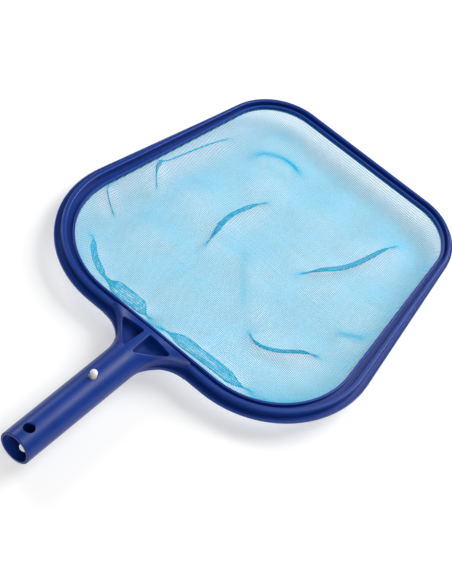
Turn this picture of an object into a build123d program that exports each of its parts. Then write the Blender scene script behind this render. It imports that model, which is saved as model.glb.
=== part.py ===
from build123d import *
import math
import os

# Leaf skimmer net for a pool pole. Millimetres, +Z up, the handle points along -Y.
# The origin is on the floor, under the middle of the overall length.

# overall size
overall_length = 444.5
frame_width = 299.7
frame_depth = 297.0
far_y = overall_length / 2
mouth_y = -overall_length / 2
near_y = far_y - frame_depth

# handle tube; the lower button's tip stands on the floor
tube_radius = 14.6
bore_radius = 12.3
button_projection = 6.3
tube_axis_z = tube_radius + button_projection
mouth_edge_round = 0.7
bore_end_y = -99.5

# plan of the rim: one circle in each corner, joined by tangent lines
far_corner_radius = 55.0
far_corner_x = 64.5
near_corner_radius = 89.0
near_corner_x = frame_width / 2 - near_corner_radius
far_corner_y = far_y - far_corner_radius
near_corner_y = near_y + near_corner_radius

# how far each line of the rim lies inside its outer edge: (at the far edge, at the near edge)
lip_inset = (0.8, 1.4)
wall_outer_inset = (1.9, 5.0)
wall_inner_inset = (5.2, 9.6)
ring_outer_inset = (7.4, 14.9)
ring_inner_inset = (9.6, 17.1)

# heights of the rim
rim_base_z = tube_axis_z - 5.0
floor_z = rim_base_z + 2.2
lip_z = rim_base_z + 3.0
wall_far_z = rim_base_z + 6.9
wall_near_z = rim_base_z + 9.2
wall_edge_round = 1.1
lip_edge_round = 0.35
base_edge_round = 0.8

# gusset between the tube and the rim
gusset_start_y = near_y - 29.0
gusset_end_y = near_y + wall_inner_inset[1]
gusset_half_height = 12.8
gusset_half_width = 50.0
gusset_sections = 5
gusset_face_y = near_y + 5.2
gusset_face_run = 4.4
gusset_face_drop = 8.4
flank_radius = 36.0
flank_start_x = 40.5
flare_radius = 30.0
flare_root_x = math.sqrt(tube_radius ** 2 - (tube_axis_z - rim_base_z) ** 2)
pocket_near_rib = 2.9
pocket_half_width = 25.8
pocket_far_y = near_y + 0.4
pocket_near_y = near_y - 23.4
pocket_depth = 8.4
pocket_corner_round = 1.2
pocket_lip_round = 0.7

# retaining ring and net
net_thickness = 0.4
ring_height = 2.4
ring_split = 0.5
ring_split_x = 26.0
ring_edge_round = 0.6
net_wall_inset = 42.0
net_depth = 15.3
net_floor_z = floor_z - net_depth
net_clamp_width = 2.0
net_clamp_overlap = 1.0

# snap-button clip: a bent steel strip with a nylon button pressed on each arm
button_y = far_y - 359.5
spare_hole_y = far_y - 430.5
snap_hole_radius = 3.9
snap_hole_y = button_y - 0.4
spare_hole_radius = 4.9
button_radius = 3.1
button_top = tube_radius + button_projection
button_dome_height = 2.9
strip_width = 9.0
strip_thickness = 0.7
strip_height = 11.3
strip_end_past_button = 6.5
bow_y = -112.0
rivet_radius = 1.75
rivet_head_radius = 2.8
rivet_head_height = 1.0


def along(point, direction, distance):
    """The point at a distance from another one, in a unit direction."""
    return (point[0] + direction[0] * distance, point[1] + direction[1] * distance)


def side_normal(far_radius, near_radius):
    """Outward unit normal of the line that touches both corner circles on the +X side."""
    run = near_corner_x - far_corner_x
    drop = near_corner_y - far_corner_y
    distance = math.hypot(run, drop)
    lean = (far_radius - near_radius) / distance
    across = math.sqrt(1 - lean ** 2)
    return (lean * run / distance - across * drop / distance,
            lean * drop / distance + across * run / distance)


def corner_arc(center, radius, start, end):
    """Arc about a center between two unit directions."""
    middle = (start[0] + end[0], start[1] + end[1])
    length = math.hypot(*middle)
    middle = (middle[0] / length, middle[1] / length)
    return ThreePointArc(*(along(center, way, radius) for way in (start, middle, end)))


def rim_face(inset=(0.0, 0.0)):
    """Flat face inside the rim's outline, drawn in by one amount at each end."""
    far_radius = far_corner_radius - inset[0]
    near_radius = near_corner_radius - inset[1]
    out_x, out_y = side_normal(far_radius, near_radius)
    right, left = (out_x, out_y), (-out_x, out_y)
    far, near = (0, 1), (0, -1)
    arcs = [
        corner_arc((far_corner_x, far_corner_y), far_radius, far, right),
        corner_arc((near_corner_x, near_corner_y), near_radius, right, near),
        corner_arc((-near_corner_x, near_corner_y), near_radius, near, left),
        corner_arc((-far_corner_x, far_corner_y), far_radius, left, far),
    ]
    edges = []
    for arc, following in zip(arcs, arcs[1:] + arcs[:1]):
        edges += [arc, Line(arc @ 1, following @ 0)]
    return make_face(edges)


def band(outer_inset, inner_inset, bottom, top):
    """Closed band that follows the rim between two insets and two heights."""
    flat = rim_face(outer_inset) - rim_face(inner_inset)
    return extrude(Pos(0, 0, bottom) * flat, top - bottom)


def rounded(shape, radius, pick):
    """The shape with the picked edges rounded."""
    return fillet([edge for edge in shape.edges() if pick(edge)], radius)


def rim_wall():
    """Raised wall of the rim, with a top that falls towards the far edge."""
    wall = band(wall_outer_inset, wall_inner_inset, rim_base_z, wall_near_z + 1)
    fall = math.atan2(wall_near_z - wall_far_z, frame_depth)
    top = Plane(origin=(0, near_y, wall_near_z), x_dir=(1, 0, 0),
                z_dir=(0, math.sin(fall), math.cos(fall)))
    wall = split(wall, bisect_by=top, keep=Keep.BOTTOM)
    return rounded(wall, wall_edge_round, lambda edge: edge.center().Z > wall_far_z - 1)


def rim_base():
    """Floor of the rim and the low lip around its outside."""
    floor = band((0.0, 0.0), ring_inner_inset, rim_base_z, floor_z)
    floor = rounded(floor, base_edge_round, lambda edge: edge.center().Z < rim_base_z + 0.01)
    lip = band((0.0, 0.0), lip_inset, floor_z, lip_z)
    return floor + rounded(lip, lip_edge_round, lambda edge: edge.center().Z > lip_z - 0.01)


def concave_plan(radius, root_x, top_x, top_y):
    """Plan of a web beside the tube, with a concave arc from the rim to the tube on each side."""
    tangent_y = top_y - math.sqrt(radius ** 2 - (root_x + radius - top_x) ** 2)
    middle_turn = math.pi - math.asin((top_y - tangent_y) / radius) / 2
    center = (root_x + radius, tangent_y)
    middle = along(center, (math.cos(middle_turn), math.sin(middle_turn)), radius)
    right = ThreePointArc((top_x, top_y), middle, (root_x, tangent_y))
    left = mirror(right, Plane.YZ)
    around_tube = Polyline((root_x, tangent_y), (root_x, gusset_start_y),
                           (-root_x, gusset_start_y), (-root_x, tangent_y))
    around_rim = Polyline((-top_x, top_y), (-top_x, gusset_end_y),
                          (top_x, gusset_end_y), (top_x, top_y))
    return make_face([right, left, around_tube, around_rim])


def pocket(side, up):
    """Three-cornered pocket in the gusset, as the solid that it takes away."""
    corners = [(side * pocket_near_rib, pocket_far_y), (side * pocket_half_width, pocket_far_y),
               (side * (pocket_near_rib + 1), pocket_near_y)]
    plan = make_face(Polyline(*corners, close=True))
    plan = fillet(plan.vertices(), pocket_corner_round)
    cut = extrude(Pos(0, 0, gusset_half_height - pocket_depth) * plan, 2 * pocket_depth)
    if up < 0:
        cut = mirror(cut, Plane.XY)
    return Pos(0, 0, tube_axis_z) * cut


def on_pocket_mouth(edge):
    """Whether an edge runs round the mouth of a pocket."""
    reach = pocket_half_width + pocket_lip_round
    for end in (edge @ 0, edge @ 1):
        if abs(end.X) > reach or not pocket_near_y - 1 < end.Y < pocket_far_y + pocket_lip_round:
            return False
    return edge.geom_type == GeomType.BSPLINE


def gusset_section(share):
    """Section of the gusset at a share of its length; it leaves the tube without a step."""
    y = gusset_start_y + (gusset_end_y - gusset_start_y) * share
    plane = Plane(origin=(0, y, tube_axis_z), x_dir=(1, 0, 0), z_dir=(0, 1, 0))
    half_width = tube_radius + (gusset_half_width - tube_radius) * share ** 2
    half_height = tube_radius + (gusset_half_height - tube_radius) * share ** 2
    if share == 0:
        return plane * Circle(tube_radius)
    return plane * Ellipse(half_width, half_height)


def gusset():
    """Crowned body with four pockets that spreads from the round tube to the rim."""
    body = loft([gusset_section(step / (gusset_sections - 1)) for step in range(gusset_sections)])
    plan = concave_plan(flank_radius, tube_radius, flank_start_x, near_y + wall_outer_inset[1])
    body = body & extrude(plan, 4 * tube_radius)
    lean = math.atan2(gusset_face_run, gusset_face_drop)
    for up in (1, -1):
        face = Plane(origin=(0, gusset_face_y, tube_axis_z + up * gusset_half_height),
                     x_dir=(1, 0, 0), z_dir=(0, math.cos(lean), up * math.sin(lean)))
        body = split(body, bisect_by=face, keep=Keep.BOTTOM)
        for side in (1, -1):
            body = body - pocket(side, up)
    return rounded(body, pocket_lip_round, on_pocket_mouth)


def frame():
    """One moulding: rim, gusset and handle tube."""
    tube = Pos(0, mouth_y, tube_axis_z) * Rot(X=-90) * Cylinder(
        tube_radius, gusset_start_y - mouth_y, align=(Align.CENTER, Align.CENTER, Align.MIN))
    mouth = tube.edges().sort_by(Axis.Y)[:1]
    tube = fillet(mouth, mouth_edge_round)
    flare = concave_plan(flare_radius, flare_root_x, flare_root_x + flare_radius, near_y)
    body = rim_base() + extrude(Pos(0, 0, rim_base_z) * flare, lip_z - rim_base_z)
    body = body + rim_wall() + gusset() + tube
    body = body - Pos(0, mouth_y - 1, tube_axis_z) * Rot(X=-90) * Cylinder(
        bore_radius, bore_end_y - mouth_y + 1, align=(Align.CENTER, Align.CENTER, Align.MIN))
    body = body - Pos(0, snap_hole_y, tube_axis_z) * Cylinder(snap_hole_radius, 3 * tube_radius)
    return body - Pos(0, spare_hole_y, tube_axis_z) * Cylinder(spare_hole_radius, 3 * tube_radius)


def net_retaining_ring():
    """Split ring that clamps the net on the rim's inner ledge."""
    bottom = floor_z + net_thickness
    ring = band(ring_outer_inset, ring_inner_inset, bottom, bottom + ring_height)
    top = bottom + ring_height
    ring = rounded(ring, ring_edge_round, lambda edge: edge.center().Z > top - 0.01)
    gap = Pos(ring_split_x, far_y - sum(ring_outer_inset) / 2, bottom) * Box(
        ring_split, 4 * ring_inner_inset[0], 4 * ring_height)
    return ring - gap


def net_layer(lift):
    """Solid of the net's shallow bag, down to one side of the cloth."""
    slope = (ring_inner_inset[0] + net_wall_inset, ring_inner_inset[1] + net_wall_inset)
    top = Pos(0, 0, floor_z + lift) * rim_face(ring_inner_inset)
    bottom = Pos(0, 0, net_floor_z + lift) * rim_face(slope)
    return loft([bottom, top], ruled=True)


def net():
    """Net as a thin closed bag with a flat clamped edge."""
    clamp_outer = tuple(inset - net_clamp_width for inset in ring_inner_inset)
    clamp_inner = tuple(inset + net_clamp_overlap for inset in ring_inner_inset)
    clamp = band(clamp_outer, clamp_inner, floor_z, floor_z + net_thickness)
    return clamp + (net_layer(0) - net_layer(net_thickness))


def strip_arm(up):
    """Straight arm of the clip strip, above (up = 1) or below (up = -1) the tube's axis."""
    length = bow_y - button_y + strip_end_past_button
    arm = Pos(0, bow_y - length / 2, tube_axis_z + up * (strip_height - strip_thickness / 2)) * Box(
        strip_width, length, strip_thickness)
    return arm - Pos(0, button_y, tube_axis_z) * Cylinder(rivet_radius, 4 * tube_radius)


def strip_bow():
    """Round bow that joins the two arms of the clip."""
    center = Pos(0, bow_y, tube_axis_z) * Rot(Y=90)
    disc = center * Cylinder(strip_height, strip_width)
    disc = disc - center * Cylinder(strip_height - strip_thickness, 2 * strip_width)
    half = Pos(0, bow_y + strip_height, tube_axis_z) * Box(
        2 * strip_width, 2 * strip_height, 4 * strip_height)
    return disc & half


def button(up):
    """Nylon button pressed through the end of an arm."""
    dome_radius = (button_radius ** 2 + button_dome_height ** 2) / (2 * button_dome_height)
    shoulder = button_top - button_dome_height
    shape = Pos(0, 0, strip_height) * Cylinder(
        button_radius, shoulder - strip_height, align=(Align.CENTER, Align.CENTER, Align.MIN))
    ball = Pos(0, 0, button_top - dome_radius) * Sphere(dome_radius)
    ball = ball & (Pos(0, 0, shoulder) * Cylinder(
        button_radius, 2 * button_radius, align=(Align.CENTER, Align.CENTER, Align.MIN)))
    shank_bottom = strip_height - strip_thickness
    shank = Pos(0, 0, shank_bottom) * Cylinder(
        rivet_radius, strip_thickness, align=(Align.CENTER, Align.CENTER, Align.MIN))
    head = Pos(0, 0, shank_bottom) * Cylinder(
        rivet_head_radius, rivet_head_height, align=(Align.CENTER, Align.CENTER, Align.MAX))
    shape = shape + ball + shank + head
    if up < 0:
        shape = mirror(shape, Plane.XY)
    return Pos(0, button_y, tube_axis_z) * shape


def main():
    """Write one STEP file for each node."""
    nodes = {
        "frame": frame(),
        "net_retaining_ring": net_retaining_ring(),
        "net": net(),
        "clip_bow": strip_bow(),
        "clip_upper_arm": strip_arm(1),
        "clip_lower_arm": strip_arm(-1),
        "upper_button": button(1),
        "lower_button": button(-1),
    }
    os.makedirs("parts", exist_ok=True)
    for name, shape in nodes.items():
        export_step(shape, f"parts/{name}.step")


main()
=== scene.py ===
import math

import bpy
import numpy as np
from bpy.props import (
    FloatProperty,
    FloatVectorProperty,
    IntProperty,
    PointerProperty,
)
from bpy.types import Operator, Panel, PropertyGroup
from mathutils import Matrix, Vector


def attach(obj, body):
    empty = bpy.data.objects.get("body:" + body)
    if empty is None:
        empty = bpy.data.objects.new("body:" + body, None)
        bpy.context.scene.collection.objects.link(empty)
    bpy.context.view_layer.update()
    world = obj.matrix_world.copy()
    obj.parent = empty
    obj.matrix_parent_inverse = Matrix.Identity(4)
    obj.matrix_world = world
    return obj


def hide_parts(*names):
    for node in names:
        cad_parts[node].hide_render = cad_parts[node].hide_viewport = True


bl_info = {
    "name": "Leaf skimmer net",
    "version": (1, 0, 0),
    "blender": (4, 2, 0),
    "location": "View3D > Sidebar > Skimmer",
    "description": "Woven net, moulded rim and snap-button clip of a pool leaf skimmer",
    "category": "Object",
}

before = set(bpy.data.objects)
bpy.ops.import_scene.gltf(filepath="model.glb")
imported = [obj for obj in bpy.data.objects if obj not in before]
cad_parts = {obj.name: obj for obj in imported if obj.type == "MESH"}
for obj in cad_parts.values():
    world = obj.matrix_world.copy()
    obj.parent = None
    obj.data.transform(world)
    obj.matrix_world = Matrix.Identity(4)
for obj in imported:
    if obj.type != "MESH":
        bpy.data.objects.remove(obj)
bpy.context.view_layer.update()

MM = 0.001
BODY = "skimmer"
FLAT_MAP = "Flat"
FINE_MARK = "fold_zone"

# Scales of the noise in the materials, and the depth of their grain.
MOTTLE_SCALE = 38.0
WEAR_SCALE = 140.0
GRAIN_SCALE = 900.0
ROLLED_SCALE = 60.0
NYLON_SCALE = 220.0
NYLON_GRAIN_SCALE = 700.0
THREAD_SCALE = 45.0
GRAIN_DEPTH = 0.0001

# How finely the cloth is divided.
ARC_POINTS = 60
EDGE_STEP = 2.0 * MM
CLOTH_RINGS = 72

# How the cloth hangs: the flat strip inside the ring, the width over which the swells fade in,
# and where its far slope begins and how long it takes to change.
FLAT_STRIP = 0.6 * MM
SWELL_MARGIN = 25 * MM
FAR_SLOPE_START = 0.1
FAR_SLOPE_RUN = 0.1

# How a fold fades at its ends and near the rim, and the form of its ridge and of its layer.
FOLD_END_SHARE = 0.3
FOLD_MARGIN = 6 * MM
RIDGE_SPREAD = 1.6
LAYER_STEEPNESS = 1.2
LAYER_SPREAD = 6.5
FINE_REACH = 2.0
FINE_TAPER = 0.05

# Threads: offset of warp and weft as a share of the diameter, and the sides of one thread.
WEAVE_OFFSET = 0.27
THREAD_SIDES = 3

# Each light: name, place, size and power.
LIGHTS = (
    ("key", (0.45, 1.15, 1.25), 1.1, 34.0),
    ("side", (-1.25, 0.25, 0.95), 0.6, 9.0),
    ("front", (0.9, -0.8, 1.2), 0.8, 9.5),
)

# Each fold: line over the cloth in millimetres, half width, ridge height, tuck, and layer lift.
FOLDS = {
    "far_left": (((-97, 164), (-103, 142), (-110, 112), (-116, 84), (-118, 72), (-110, 50)),
                 4.0, 4.0, 4.2, 2.2),
    "far_left_branch": (((-123, 84), (-114, 71), (-103, 58)), 3.4, 2.5, 2.8, 1.8),
    "left": (((-134, 36), (-128, 21), (-106, 10)), 4.0, 3.0, 3.2, 1.8),
    "near_left": (((-110, -14), (-94, -31), (-78, -41), (-60, -46)), 4.5, 3.5, 6.5, 3.0),
    "middle": (((-41, 36), (-39, 52), (-44, 78), (-40, 104), (-28, 132)), 4.6, 4.0, 4.6, 2.6),
    "middle_soft": (((-41, 46), (-41, 64), (-46, 84), (-42, 108), (-30, 136)), 9.5, 0.0, 3.2, 0.0),
    "middle_crease": (((-16, 72), (2, 49), (19, 30), (36, 10)), 9.0, 3.0, 2.2, 0.0),
    "far_arc": (((-80, 142), (-70, 162), (-50, 171), (-22, 166)), 10.0, 3.5, 3.8, 1.5),
    "right": (((28, 78), (45, 104), (56, 118), (64, 140), (77, 184)), 4.6, 4.5, 4.6, 2.6),
    "right_soft": (((26, 72), (43, 98), (54, 114), (64, 138), (76, 176)), 9.5, 0.0, 3.2, 0.0),
    "near_right": (((38, 12), (54, 1), (68, 4), (88, 19), (108, 34)), 4.8, 4.0, 4.4, 2.4),
    "near_right_soft": (((36, 16), (52, 6), (70, 9), (90, 23), (108, 34)), 9.0, 0.0, 3.0, 0.0),
    "right_short": (((90, 58), (106, 66), (124, 68)), 9.0, 3.0, 2.6, 0.0),
    "hem_left": (((-72, -43), (-52, -46), (-34, -45), (-14, -49)), 6.0, 3.0, 11.0, 3.0),
    "hem_right": (((-10, -49), (18, -45), (50, -43), (74, -42), (90, -35)), 6.0, 3.0, 10.0, 3.0),
}

# Each soft swell of the slack cloth: place over the cloth in millimetres, spread and height.
SWELLS = (
    (-46, 144, 21, 8.5),
    (-78, 84, 22, 8.0),
    (-78, 22, 20, 6.0),
    (-8, 60, 26, 5.0),
    (4, 150, 24, 5.0),
    (66, 158, 20, 6.0),
    (88, 100, 24, 5.0),
    (92, 26, 20, 5.0),
    (-20, 0, 24, 4.5),
    (-70, 190, 18, 5.0),
    (40, 40, 18, 3.0),
)


class RimSettings(PropertyGroup):
    """Sizes of the rim that the net follows, and the finish of the plastic."""

    far_radius: FloatProperty(
        name="Far corner radius", description="Outer radius of the two far corners",
        default=55.0 * MM, unit="LENGTH")
    far_corner: FloatVectorProperty(
        name="Far corner centre", description="Centre of the far corner on the +X side",
        size=2, default=(64.5 * MM, 167.25 * MM), subtype="XYZ")
    near_radius: FloatProperty(
        name="Near corner radius", description="Outer radius of the two near corners",
        default=89.0 * MM, unit="LENGTH")
    near_corner: FloatVectorProperty(
        name="Near corner centre", description="Centre of the near corner on the +X side",
        size=2, default=(60.85 * MM, 14.25 * MM), subtype="XYZ")
    far_opening: FloatProperty(
        name="Far opening inset", description="Inset of the net opening at the far edge",
        default=9.6 * MM, unit="LENGTH")
    near_opening: FloatProperty(
        name="Near opening inset", description="Inset of the net opening at the near edge",
        default=17.1 * MM, unit="LENGTH")
    colour: FloatVectorProperty(
        name="Plastic colour", description="Base colour of the blue moulding",
        size=3, default=(0.0058, 0.0335, 0.215), subtype="COLOR")
    roughness: FloatProperty(
        name="Plastic roughness", description="Roughness of the satin moulding",
        default=0.33, subtype="FACTOR")


class NetSettings(PropertyGroup):
    """Sizes and colour of the woven net."""

    pitch: FloatProperty(
        name="Thread pitch", description="Distance between neighbouring threads",
        default=1.3 * MM, unit="LENGTH")
    diameter: FloatProperty(
        name="Thread diameter", description="Diameter of one thread",
        default=0.42 * MM, unit="LENGTH")
    fine_step: FloatProperty(
        name="Fine step", description="Distance between a thread's points in a fold",
        default=1.25 * MM, unit="LENGTH")
    coarse_every: IntProperty(
        name="Coarse share", description="Outside the folds, one point of this many is kept",
        default=4, min=1)
    clamp: FloatProperty(
        name="Clamped width", description="Width of the net held under the ring",
        default=1.9 * MM, unit="LENGTH")
    clamp_height: FloatProperty(
        name="Clamp height", description="Height of the clamped edge",
        default=18.3 * MM, unit="LENGTH")
    floor_height: FloatProperty(
        name="Bag height", description="Height of the lowest part of the bag",
        default=3.2 * MM, unit="LENGTH")
    slope_far: FloatProperty(
        name="Far slope width", description="Width of the bag's side at the far edge",
        default=22.0 * MM, unit="LENGTH")
    slope_side: FloatProperty(
        name="Side slope width", description="Width of the bag's side at the left and right",
        default=32.0 * MM, unit="LENGTH")
    colour: FloatVectorProperty(
        name="Thread colour", description="Colour of the translucent threads",
        size=3, default=(0.022, 0.75, 0.95), subtype="COLOR")


class ClipSettings(PropertyGroup):
    """Finishes of the snap-button clip."""

    steel_colour: FloatVectorProperty(
        name="Steel colour", description="Colour of the spring strip",
        size=3, default=(0.62, 0.61, 0.58), subtype="COLOR")
    nylon_colour: FloatVectorProperty(
        name="Nylon colour", description="Colour of the buttons",
        size=3, default=(0.80, 0.80, 0.78), subtype="COLOR")


class StageSettings(PropertyGroup):
    """Camera, floor and lights."""

    azimuth: FloatProperty(
        name="Camera azimuth", description="Turn of the camera from the handle side towards +X",
        default=math.radians(27.67), subtype="ANGLE")
    elevation: FloatProperty(
        name="Camera elevation", description="Height of the camera above the horizon",
        default=math.radians(51.11), subtype="ANGLE")
    roll: FloatProperty(
        name="Camera roll", description="Turn of the camera about its own line of sight",
        default=math.radians(16.63), subtype="ANGLE")
    distance: FloatProperty(
        name="Camera distance", description="Distance from the camera to its target",
        default=1.7144, unit="LENGTH")
    target: FloatVectorProperty(
        name="Camera target", description="Point that the camera looks at",
        size=3, default=(8.9 * MM, 16.85 * MM, 15.9 * MM), subtype="XYZ")
    lens: FloatProperty(
        name="Lens", description="Focal length in millimetres on a 36 mm sensor",
        default=129.46)
    floor_size: FloatProperty(
        name="Floor size", description="Side of the square floor",
        default=8.0, unit="LENGTH")
    floor_colour: FloatVectorProperty(
        name="Floor colour", description="Colour of the plain floor",
        size=3, default=(0.52, 0.52, 0.52), subtype="COLOR")
    world_strength: FloatProperty(
        name="Ambient strength", description="Strength of the even light from all round",
        default=0.14)
    floor_glow: FloatProperty(
        name="Floor glow", description="Light that the floor gives of itself, as a lit table does",
        default=0.45)


# ---------------------------------------------------------------- materials


def new_material(name):
    """New node material, its tree and its shader."""
    material = bpy.data.materials.new(name)
    material.use_nodes = True
    tree = material.node_tree
    return material, tree, tree.nodes["Principled BSDF"]


def noise(tree, scale, detail=2.0, stretch=(1.0, 1.0, 1.0)):
    """Noise over Object coordinates."""
    place = tree.nodes.new("ShaderNodeTexCoord")
    mapping = tree.nodes.new("ShaderNodeMapping")
    mapping.inputs["Scale"].default_value = stretch
    texture = tree.nodes.new("ShaderNodeTexNoise")
    texture.inputs["Scale"].default_value = scale
    texture.inputs["Detail"].default_value = detail
    tree.links.new(place.outputs["Object"], mapping.inputs["Vector"])
    tree.links.new(mapping.outputs["Vector"], texture.inputs["Vector"])
    return texture.outputs["Fac"]


def spread(tree, value, low, high):
    """A 0 to 1 value moved to another range."""
    node = tree.nodes.new("ShaderNodeMapRange")
    node.inputs["From Min"].default_value = 0.3
    node.inputs["From Max"].default_value = 0.7
    node.inputs["To Min"].default_value = low
    node.inputs["To Max"].default_value = high
    tree.links.new(value, node.inputs["Value"])
    return node.outputs["Result"]


def two_colours(tree, value, low, high):
    """A colour that runs between two with a 0 to 1 value."""
    ramp = tree.nodes.new("ShaderNodeValToRGB")
    ramp.color_ramp.elements[0].position = 0.3
    ramp.color_ramp.elements[0].color = (*low, 1.0)
    ramp.color_ramp.elements[1].position = 0.7
    ramp.color_ramp.elements[1].color = (*high, 1.0)
    tree.links.new(value, ramp.inputs["Fac"])
    return ramp.outputs["Color"]


def bump(tree, shader, height, strength, distance):
    """Bump on a shader's normal."""
    node = tree.nodes.new("ShaderNodeBump")
    node.inputs["Strength"].default_value = strength
    node.inputs["Distance"].default_value = distance
    tree.links.new(height, node.inputs["Height"])
    tree.links.new(node.outputs["Normal"], shader.inputs["Normal"])


def shade(colour, factor):
    """A colour made lighter or darker."""
    return tuple(channel * factor for channel in colour)


def satin_plastic(name, colour, roughness):
    """Satin injection-moulded plastic with faint mottling and a fine grain."""
    material, tree, shader = new_material(name)
    mottle = noise(tree, MOTTLE_SCALE)
    tone = two_colours(tree, mottle, shade(colour, 0.94), shade(colour, 1.06))
    tree.links.new(tone, shader.inputs["Base Color"])
    wear = noise(tree, WEAR_SCALE, 3.0)
    gloss = spread(tree, wear, roughness - 0.04, roughness + 0.05)
    tree.links.new(gloss, shader.inputs["Roughness"])
    shader.inputs["Specular IOR Level"].default_value = 0.26
    bump(tree, shader, noise(tree, GRAIN_SCALE, 1.0), 0.05, GRAIN_DEPTH)
    return material


def spring_steel(name, colour):
    """Rolled stainless strip with lines along its length."""
    material, tree, shader = new_material(name)
    lines = noise(tree, ROLLED_SCALE, 3.0, (40.0, 1.0, 1.0))
    tone = two_colours(tree, lines, shade(colour, 0.9), shade(colour, 1.08))
    tree.links.new(tone, shader.inputs["Base Color"])
    tree.links.new(spread(tree, lines, 0.24, 0.36), shader.inputs["Roughness"])
    shader.inputs["Metallic"].default_value = 1.0
    return material


def white_nylon(name, colour):
    """Smooth white nylon."""
    material, tree, shader = new_material(name)
    mottle = noise(tree, NYLON_SCALE)
    tone = two_colours(tree, mottle, shade(colour, 0.97), shade(colour, 1.02))
    tree.links.new(tone, shader.inputs["Base Color"])
    shader.inputs["Roughness"].default_value = 0.32
    bump(tree, shader, noise(tree, NYLON_GRAIN_SCALE, 1.0), 0.04, GRAIN_DEPTH)
    return material


def net_thread(name, colour):
    """Translucent polymer thread."""
    material, tree, shader = new_material(name)
    mottle = noise(tree, THREAD_SCALE, 3.0)
    tone = two_colours(tree, mottle, shade(colour, 0.93), shade(colour, 1.03))
    tree.links.new(tone, shader.inputs["Base Color"])
    shader.inputs["Roughness"].default_value = 0.5
    shader.inputs["Specular IOR Level"].default_value = 0.12
    through = tree.nodes.new("ShaderNodeBsdfTranslucent")
    tree.links.new(tone, through.inputs["Color"])
    mix = tree.nodes.new("ShaderNodeMixShader")
    mix.inputs[0].default_value = 0.5
    tree.links.new(shader.outputs[0], mix.inputs[1])
    tree.links.new(through.outputs[0], mix.inputs[2])
    tree.links.new(mix.outputs[0], tree.nodes["Material Output"].inputs["Surface"])
    return material


def paint(node, material):
    """Give a carried-over node one material."""
    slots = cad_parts[node].material_slots
    if not slots:
        raise RuntimeError(f"{node} has no material slot")
    for slot in slots:
        slot.link = "OBJECT"
        slot.material = material


# ---------------------------------------------------------------- cloth of the net


def corner_run(centre, radius, start, end, count):
    """Points along one corner's arc, between two angles."""
    angles = np.linspace(start, end, count)
    return np.stack([centre[0] + radius * np.cos(angles),
                     centre[1] + radius * np.sin(angles)], axis=1)


def opening_outline(rim, grow, spacing):
    """Closed outline of the net opening, grown outwards, as evenly spaced points."""
    far = rim.far_radius - rim.far_opening + grow
    near = rim.near_radius - rim.near_opening + grow
    far_x, far_y = rim.far_corner
    near_x, near_y = rim.near_corner
    run, drop = near_x - far_x, near_y - far_y
    lean = math.acos((far - near) / math.hypot(run, drop))
    side = math.atan2(drop, run) + lean
    right = np.concatenate([
        corner_run((near_x, near_y), near, -math.pi / 2, side, ARC_POINTS),
        corner_run((far_x, far_y), far, side, math.pi / 2, ARC_POINTS)])
    left = right[::-1] * (-1, 1)
    ring = np.concatenate([right, left])
    ring = np.concatenate([ring, ring[:1]])
    lengths = np.hypot(*np.diff(ring, axis=0).T)
    along = np.concatenate([[0.0], np.cumsum(lengths)])
    total = int(round(along[-1] / spacing))
    places = np.arange(total) * along[-1] / total
    return np.stack([np.interp(places, along, ring[:, axis]) for axis in (0, 1)], axis=1)


def smooth_line(points, count=80):
    """Smooth line through a few points, as even points (Catmull-Rom)."""
    points = np.asarray(points, float)
    padded = np.concatenate([[2 * points[0] - points[1]], points, [2 * points[-1] - points[-2]]])
    pieces = []
    for index in range(len(points) - 1):
        a, b, c, d = padded[index:index + 4]
        t = np.linspace(0.0, 1.0, count, endpoint=False)[:, None]
        pieces.append(0.5 * (2 * b + (c - a) * t + (2 * a - 5 * b + 4 * c - d) * t ** 2
                             + (3 * b - a - 3 * c + d) * t ** 3))
    line = np.concatenate(pieces + [points[-1:]])
    along = np.concatenate([[0.0], np.cumsum(np.hypot(*np.diff(line, axis=0).T))])
    places = np.linspace(0.0, along[-1], count)
    return np.stack([np.interp(places, along, line[:, axis]) for axis in (0, 1)], axis=1)


def ease(value):
    """Smooth step from 0 to 1."""
    value = np.clip(value, 0.0, 1.0)
    return value * value * (3 - 2 * value)


def nearest(places, line):
    """For each place, the index of the nearest point of a line and its distance."""
    best = np.full(len(places), np.inf)
    index = np.zeros(len(places), int)
    for number, point in enumerate(line):
        distance = np.hypot(*(places - point).T)
        closer = distance < best
        best[closer] = distance[closer]
        index[closer] = number
    return index, best


def add_fold(flat, plan, height, zone, inside, fold):
    """Press one tuck and ridge into the cloth."""
    points, half_width, ridge, tuck, lift = fold
    line = smooth_line(np.array(points) * MM)
    half_width, ridge, tuck, lift = (value * MM for value in (half_width, ridge, tuck, lift))
    tangent = np.gradient(line, axis=0)
    tangent /= np.hypot(*tangent.T)[:, None]
    normal = np.stack([-tangent[:, 1], tangent[:, 0]], axis=1)
    index, distance = nearest(flat, line)
    across = np.einsum("ij,ij->i", flat - line[index], normal[index])
    beyond = np.abs(np.einsum("ij,ij->i", flat - line[index], tangent[index]))
    share = index / (len(line) - 1)
    taper = ease(np.minimum(share, 1 - share) / FOLD_END_SHARE)
    taper *= np.exp(-(beyond / half_width) ** 2)
    taper *= ease(inside / FOLD_MARGIN)
    n = across / half_width
    bell = np.exp(-n ** 2 / 2)
    plan -= normal[index] * (tuck * taper * n * bell * math.exp(0.5))[:, None]
    height += ridge * taper * np.exp(-n ** 2 / RIDGE_SPREAD)
    layer = 0.5 + 0.5 * np.tanh(LAYER_STEEPNESS * n)
    height += lift * taper * layer * np.exp(-n ** 2 / LAYER_SPREAD)
    zone[(distance < FINE_REACH * half_width) & (taper > FINE_TAPER)] = True


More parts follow.
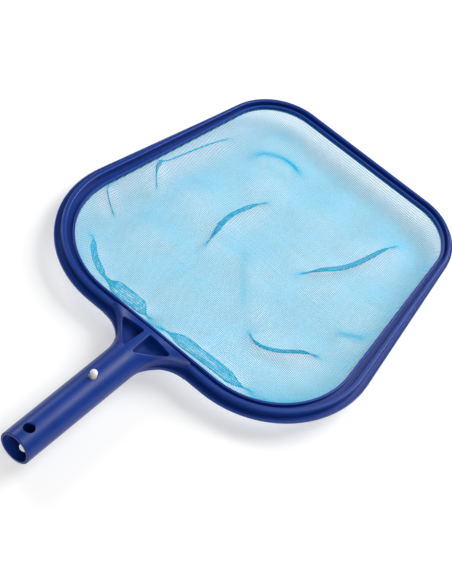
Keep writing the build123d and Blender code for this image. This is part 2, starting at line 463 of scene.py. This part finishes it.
def cloth_shape(rim, net):
    """Flat places, hung places, fold zone and faces of the net's cloth."""
    edge = opening_outline(rim, net.clamp, EDGE_STEP)
    middle = Vector((0.0, float(edge[:, 1].mean())))
    shares = 1 - np.arange(CLOTH_RINGS) / CLOTH_RINGS
    flat = np.concatenate([(edge - middle) * share + middle for share in shares]
                          + [np.array([middle])])
    _, to_edge = nearest(flat, edge)
    inside = to_edge - net.clamp
    far_share = ease((flat[:, 1] - FAR_SLOPE_START) / FAR_SLOPE_RUN)
    slope = net.slope_side + (net.slope_far - net.slope_side) * far_share
    fall = np.clip(1 - (inside - FLAT_STRIP) / slope, 0.0, 1.0)
    height = net.floor_height + (net.clamp_height - net.floor_height) * fall ** 2
    loose = ease(inside / SWELL_MARGIN)
    for x, y, size, rise in SWELLS:
        away = np.hypot(flat[:, 0] - x * MM, flat[:, 1] - y * MM) / (size * MM)
        height += rise * MM * loose * np.exp(-away ** 2)
    plan = flat.copy()
    zone = np.zeros(len(flat), bool)
    for fold in FOLDS.values():
        add_fold(flat, plan, height, zone, inside, fold)
    count = len(edge)
    faces = []
    for ring in range(CLOTH_RINGS - 1):
        for step in range(count):
            a, b = ring * count + step, ring * count + (step + 1) % count
            faces.append((a, b, b + count, a + count))
    last = (CLOTH_RINGS - 1) * count
    faces += [(last + step, last + (step + 1) % count, last + count) for step in range(count)]
    return flat, np.column_stack([plan, height]), zone, faces


def cloth_object(rim, net):
    """Mesh of the hung cloth, with its flat layout as a UV map."""
    flat, hung, zone, faces = cloth_shape(rim, net)
    mesh = bpy.data.meshes.new("net_cloth")
    mesh.from_pydata(hung.tolist(), [], faces)
    low, high = flat.min(axis=0), flat.max(axis=0)
    layer = mesh.uv_layers.new(name=FLAT_MAP)
    corners = np.zeros(len(mesh.loops), int)
    mesh.loops.foreach_get("vertex_index", corners)
    layer.data.foreach_set("uv", ((flat[corners] - low) / (high - low)).ravel())
    mark = mesh.attributes.new(FINE_MARK, "FLOAT", "POINT")
    mark.data.foreach_set("value", zone.astype(float))
    cloth = bpy.data.objects.new("net_cloth", mesh)
    bpy.context.scene.collection.objects.link(cloth)
    return cloth, low, high


# ---------------------------------------------------------------- thread tree


class TreeMaker:
    """Short ways to add and join the nodes of one geometry tree."""

    def __init__(self, name):
        self.tree = bpy.data.node_groups.new(name, "GeometryNodeTree")

    def add(self, kind, links=(), **settings):
        """A node, its settings, and what its inputs are joined to or hold."""
        node = self.tree.nodes.new(kind)
        for key, value in settings.items():
            setattr(node, key, value)
        for key, value in dict(links).items():
            socket = node.inputs[key]
            if isinstance(value, bpy.types.NodeSocket):
                self.tree.links.new(value, socket)
            else:
                socket.default_value = value
        return node

    def math(self, operation, first, second=0.0):
        """One number from two."""
        return self.add("ShaderNodeMath", {0: first, 1: second}, operation=operation).outputs[0]


def named_input(tree, name, kind):
    """A named input on a geometry tree."""
    return tree.interface.new_socket(name=name, in_out="INPUT", socket_type=kind).identifier


def thread_run(make, given, cloth, along_y):
    """Branch of the tree for the threads that run one way."""
    width, length = given["Width"], given["Length"]
    across = make.math("FLOOR", make.math("DIVIDE", width if along_y else length, given["Pitch"]))
    down = make.math("FLOOR", make.math("DIVIDE", length if along_y else width, given["Fine step"]))
    counts = (across, down) if along_y else (down, across)
    grid = make.add("GeometryNodeMeshGrid", {
        "Size X": 1.0, "Size Y": 1.0, "Vertices X": counts[0], "Vertices Y": counts[1]})
    ends = make.add("GeometryNodeInputMeshEdgeVertices")
    gap = make.add("ShaderNodeVectorMath", {
        0: ends.outputs["Position 1"], 1: ends.outputs["Position 2"]}, operation="SUBTRACT")
    axes = make.add("ShaderNodeSeparateXYZ", {"Vector": gap.outputs["Vector"]})
    crossing = make.math("ABSOLUTE", axes.outputs["X" if along_y else "Y"])
    crossing = make.math("GREATER_THAN", crossing, 0.0002)
    lines = make.add("GeometryNodeDeleteGeometry", {
        "Geometry": grid.outputs["Mesh"], "Selection": crossing}, domain="EDGE", mode="EDGE_FACE")
    place = make.add("GeometryNodeInputPosition")
    layout = make.add("ShaderNodeVectorMath", {
        0: place.outputs["Position"], 1: (0.5, 0.5, 0.0)}, operation="ADD")
    uv_map = make.add("GeometryNodeInputNamedAttribute", {"Name": FLAT_MAP},
                      data_type="FLOAT_VECTOR")
    samples = {}
    mark = make.add("GeometryNodeInputNamedAttribute", {"Name": FINE_MARK}, data_type="FLOAT")
    for key, kind, value in (("place", "FLOAT_VECTOR", place.outputs["Position"]),
                             ("zone", "FLOAT", mark.outputs["Attribute"])):
        samples[key] = make.add("GeometryNodeSampleUVSurface", {
            "Mesh": cloth, "Value": value, "UV Map": uv_map.outputs["Attribute"],
            "Sample UV": layout.outputs["Vector"]}, data_type=kind)
    keep = make.add("GeometryNodeStoreNamedAttribute", {
        "Geometry": lines.outputs["Geometry"], "Name": FINE_MARK,
        "Value": samples["zone"].outputs["Value"]}, data_type="FLOAT", domain="POINT")
    known = make.add("GeometryNodeStoreNamedAttribute", {
        "Geometry": keep.outputs["Geometry"], "Name": "on_cloth",
        "Value": samples["place"].outputs["Is Valid"]}, data_type="BOOLEAN", domain="POINT")
    offset_share = WEAVE_OFFSET if along_y else -WEAVE_OFFSET
    lift = make.math("MULTIPLY", given["Diameter"], offset_share)
    offset = make.add("ShaderNodeCombineXYZ", {"Z": lift})
    hung = make.add("GeometryNodeSetPosition", {
        "Geometry": known.outputs["Geometry"], "Position": samples["place"].outputs["Value"],
        "Offset": offset.outputs["Vector"]})
    on_cloth = make.add("GeometryNodeInputNamedAttribute", {"Name": "on_cloth"},
                        data_type="BOOLEAN")
    off_cloth = make.add("FunctionNodeBooleanMath", {0: on_cloth.outputs["Attribute"]},
                         operation="NOT")
    cut = make.add("GeometryNodeDeleteGeometry", {
        "Geometry": hung.outputs["Geometry"], "Selection": off_cloth.outputs[0]},
        domain="POINT", mode="ALL")
    curves = make.add("GeometryNodeMeshToCurve", {"Mesh": cut.outputs["Geometry"]})
    return thin_out(make, given, curves.outputs["Curve"])


def thin_out(make, given, curves):
    """Drop the thread points that a straight stretch doesn't need."""
    place = make.add("GeometryNodeSplineParameter")
    turn = make.math("MODULO", place.outputs["Index"], given["Coarse share"])
    skipped = make.math("GREATER_THAN", turn, 0.5)
    mark = make.add("GeometryNodeInputNamedAttribute", {"Name": FINE_MARK}, data_type="FLOAT")
    plain = make.math("LESS_THAN", mark.outputs["Attribute"], 0.3)
    tips = make.add("GeometryNodeCurveEndpointSelection")
    inner = make.add("FunctionNodeBooleanMath", {0: tips.outputs[0]}, operation="NOT")
    drop = make.math("MULTIPLY", make.math("MULTIPLY", skipped, plain), inner.outputs[0])
    return make.add("GeometryNodeDeleteGeometry", {
        "Geometry": curves, "Selection": drop}, domain="POINT").outputs["Geometry"]


def thread_tree():
    """Tree that lays warp and weft threads over a cloth, with the identifiers of its inputs."""
    make = TreeMaker("woven_threads")
    tree = make.tree
    named_input(tree, "Geometry", "NodeSocketGeometry")
    wanted = {
        "Cloth": "NodeSocketObject", "Width": "NodeSocketFloat", "Length": "NodeSocketFloat",
        "Pitch": "NodeSocketFloat", "Diameter": "NodeSocketFloat", "Fine step": "NodeSocketFloat",
        "Coarse share": "NodeSocketFloat", "Material": "NodeSocketMaterial"}
    identifiers = {name: named_input(tree, name, kind) for name, kind in wanted.items()}
    tree.interface.new_socket(name="Geometry", in_out="OUTPUT", socket_type="NodeSocketGeometry")
    given = make.add("NodeGroupInput").outputs
    cloth = make.add("GeometryNodeObjectInfo", {"Object": given["Cloth"]}).outputs["Geometry"]
    join = make.add("GeometryNodeJoinGeometry")
    for along_y in (True, False):
        tree.links.new(thread_run(make, given, cloth, along_y), join.inputs[0])
    radius = make.math("DIVIDE", given["Diameter"], 2.0)
    section = make.add("GeometryNodeCurvePrimitiveCircle", {
        "Resolution": THREAD_SIDES, "Radius": radius})
    threads = make.add("GeometryNodeCurveToMesh", {
        "Curve": join.outputs[0], "Profile Curve": section.outputs["Curve"], "Fill Caps": True})
    real = make.add("GeometryNodeRealizeInstances", {"Geometry": threads.outputs[0]})
    finish = make.add("GeometryNodeSetMaterial", {
        "Geometry": real.outputs[0], "Material": given["Material"]})
    out = make.add("NodeGroupOutput")
    tree.links.new(finish.outputs[0], out.inputs[0])
    return tree, identifiers


def plain_mesh(carrier, name):
    """The evaluated result of a modified object as a plain mesh object."""
    carrier.update_tag()
    bpy.context.view_layer.update()
    depsgraph = bpy.context.evaluated_depsgraph_get()
    mesh = bpy.data.meshes.new_from_object(
        carrier.evaluated_get(depsgraph), preserve_all_data_layers=False, depsgraph=depsgraph)
    mesh.name = name
    return mesh


# ---------------------------------------------------------------- operators


class SKIMMER_OT_rim(Operator):
    """Finish the moulded rim and the retaining ring"""

    bl_idname = "skimmer.rim"
    bl_label = "Finish rim and ring"

    def execute(self, context):
        rim = context.scene.skimmer_rim
        paint("frame", satin_plastic("rim_plastic", rim.colour, rim.roughness))
        ring = satin_plastic("ring_plastic", shade(rim.colour, 1.08), rim.roughness)
        paint("net_retaining_ring", ring)
        return {"FINISHED"}


class SKIMMER_OT_net(Operator):
    """Weave the net over its hung cloth"""

    bl_idname = "skimmer.net"
    bl_label = "Weave net"

    def execute(self, context):
        rim, net = context.scene.skimmer_rim, context.scene.skimmer_net
        cloth, low, high = cloth_object(rim, net)
        size = high - low
        tree, identifiers = thread_tree()
        carrier = bpy.data.objects.new("net_carrier", bpy.data.meshes.new("net_carrier"))
        context.scene.collection.objects.link(carrier)
        weave = carrier.modifiers.new("Weave", "NODES")
        weave.node_group = tree
        values = {
            "Cloth": cloth, "Width": float(size[0]), "Length": float(size[1]),
            "Pitch": net.pitch, "Diameter": net.diameter, "Fine step": net.fine_step,
            "Coarse share": float(net.coarse_every),
            "Material": net_thread("net_thread", net.colour)}
        for name, value in values.items():
            weave[identifiers[name]] = value
        mesh = plain_mesh(carrier, "net_threads")
        if len(mesh.polygons) == 0:
            raise RuntimeError("the net came out empty")
        threads = bpy.data.objects.new("net_threads", mesh)
        context.scene.collection.objects.link(threads)
        for helper in (carrier, cloth):
            bpy.data.objects.remove(helper)
        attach(threads, BODY)
        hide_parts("net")
        return {"FINISHED"}

    @staticmethod
    def outline_pairs(rim, net):
        """Neighbouring points of the cloth's edge, about its middle."""
        edge = opening_outline(rim, net.clamp, EDGE_STEP)
        edge = edge - edge.mean(axis=0)
        return zip(edge, np.roll(edge, -1, axis=0))


class SKIMMER_OT_clip(Operator):
    """Finish the spring strip and its buttons"""

    bl_idname = "skimmer.clip"
    bl_label = "Finish snap-button clip"

    def execute(self, context):
        clip = context.scene.skimmer_clip
        steel = spring_steel("spring_steel", clip.steel_colour)
        nylon = white_nylon("button_nylon", clip.nylon_colour)
        for node in ("clip_bow", "clip_upper_arm", "clip_lower_arm"):
            paint(node, steel)
        for node in ("upper_button", "lower_button"):
            paint(node, nylon)
        return {"FINISHED"}


class SKIMMER_OT_stage(Operator):
    """Set the floor, the lights and the camera"""

    bl_idname = "skimmer.stage"
    bl_label = "Set stage"

    def execute(self, context):
        stage = context.scene.skimmer_stage
        self.floor(context, stage)
        self.lights(context, stage)
        self.camera(context, stage)
        context.scene.view_settings.view_transform = "Standard"
        return {"FINISHED"}

    def floor(self, context, stage):
        """Plain pale floor at the height that the object stands on."""
        half = stage.floor_size / 2
        mesh = bpy.data.meshes.new("floor")
        corners = [(-half, -half, 0.0), (half, -half, 0.0), (half, half, 0.0), (-half, half, 0.0)]
        mesh.from_pydata(corners, [], [(0, 1, 2, 3)])
        floor = bpy.data.objects.new("floor", mesh)
        material, _, shader = new_material("floor_paper")
        shader.inputs["Base Color"].default_value = (*stage.floor_colour, 1.0)
        shader.inputs["Roughness"].default_value = 0.9
        shader.inputs["Specular IOR Level"].default_value = 0.1
        shader.inputs["Emission Color"].default_value = (1.0, 1.0, 1.0, 1.0)
        shader.inputs["Emission Strength"].default_value = stage.floor_glow
        mesh.materials.append(material)
        context.scene.collection.objects.link(floor)

    def lights(self, context, stage):
        """Dim even light all round, and three area lights aimed at the object."""
        world = bpy.data.worlds.new("studio")
        world.use_nodes = True
        background = world.node_tree.nodes["Background"]
        background.inputs["Color"].default_value = (1.0, 1.0, 1.0, 1.0)
        background.inputs["Strength"].default_value = stage.world_strength
        context.scene.world = world
        for name, place, size, power in LIGHTS:
            data = bpy.data.lights.new(name, "AREA")
            data.size = size
            data.energy = power
            light = bpy.data.objects.new(name, data)
            light.location = place
            light.rotation_euler = (-Vector(place)).to_track_quat("-Z", "Y").to_euler()
            context.scene.collection.objects.link(light)

    def camera(self, context, stage):
        """Camera on the handle's right, above, and rolled."""
        turn, rise, roll = stage.azimuth, stage.elevation, stage.roll
        forward = Vector((-math.sin(turn) * math.cos(rise), math.cos(turn) * math.cos(rise),
                          -math.sin(rise)))
        right = Vector((math.cos(turn), math.sin(turn), 0.0))
        up = right.cross(forward)
        side = right * math.cos(roll) + up * math.sin(roll)
        top = up * math.cos(roll) - right * math.sin(roll)
        data = bpy.data.cameras.new("camera")
        data.lens = stage.lens
        data.sensor_width = 36.0
        data.sensor_fit = "AUTO"
        camera = bpy.data.objects.new("camera", data)
        place = Vector(stage.target) - forward * stage.distance
        camera.matrix_world = Matrix((
            (side.x, top.x, -forward.x, place.x),
            (side.y, top.y, -forward.y, place.y),
            (side.z, top.z, -forward.z, place.z),
            (0.0, 0.0, 0.0, 1.0)))
        context.scene.collection.objects.link(camera)
        context.scene.camera = camera


OPERATORS = (SKIMMER_OT_rim, SKIMMER_OT_net, SKIMMER_OT_clip, SKIMMER_OT_stage)


class SKIMMER_PT_panel(Panel):
    """Lists the operators and their settings"""

    bl_idname = "SKIMMER_PT_panel"
    bl_label = "Leaf skimmer net"
    bl_space_type = "VIEW_3D"
    bl_region_type = "UI"
    bl_category = "Skimmer"

    def draw(self, context):
        for operator in OPERATORS:
            self.layout.operator(operator.bl_idname)
        for name in SETTINGS:
            settings = getattr(context.scene, name)
            box = self.layout.box()
            for key in settings.__annotations__:
                box.prop(settings, key)


SETTINGS = {
    "skimmer_rim": RimSettings,
    "skimmer_net": NetSettings,
    "skimmer_clip": ClipSettings,
    "skimmer_stage": StageSettings,
}
CLASSES = (*SETTINGS.values(), *OPERATORS, SKIMMER_PT_panel)


def register():
    """Register the classes and their settings"""
    for cls in CLASSES:
        bpy.utils.register_class(cls)
    for name, cls in SETTINGS.items():
        setattr(bpy.types.Scene, name, PointerProperty(type=cls))


def unregister():
    """Remove the settings and the classes"""
    for name in SETTINGS:
        delattr(bpy.types.Scene, name)
    for cls in reversed(CLASSES):
        bpy.utils.unregister_class(cls)


def main():
    """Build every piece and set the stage"""
    register()
    for step in (bpy.ops.skimmer.rim, bpy.ops.skimmer.net, bpy.ops.skimmer.clip,
                 bpy.ops.skimmer.stage):
        step()


if __name__ == "__main__":
    main()
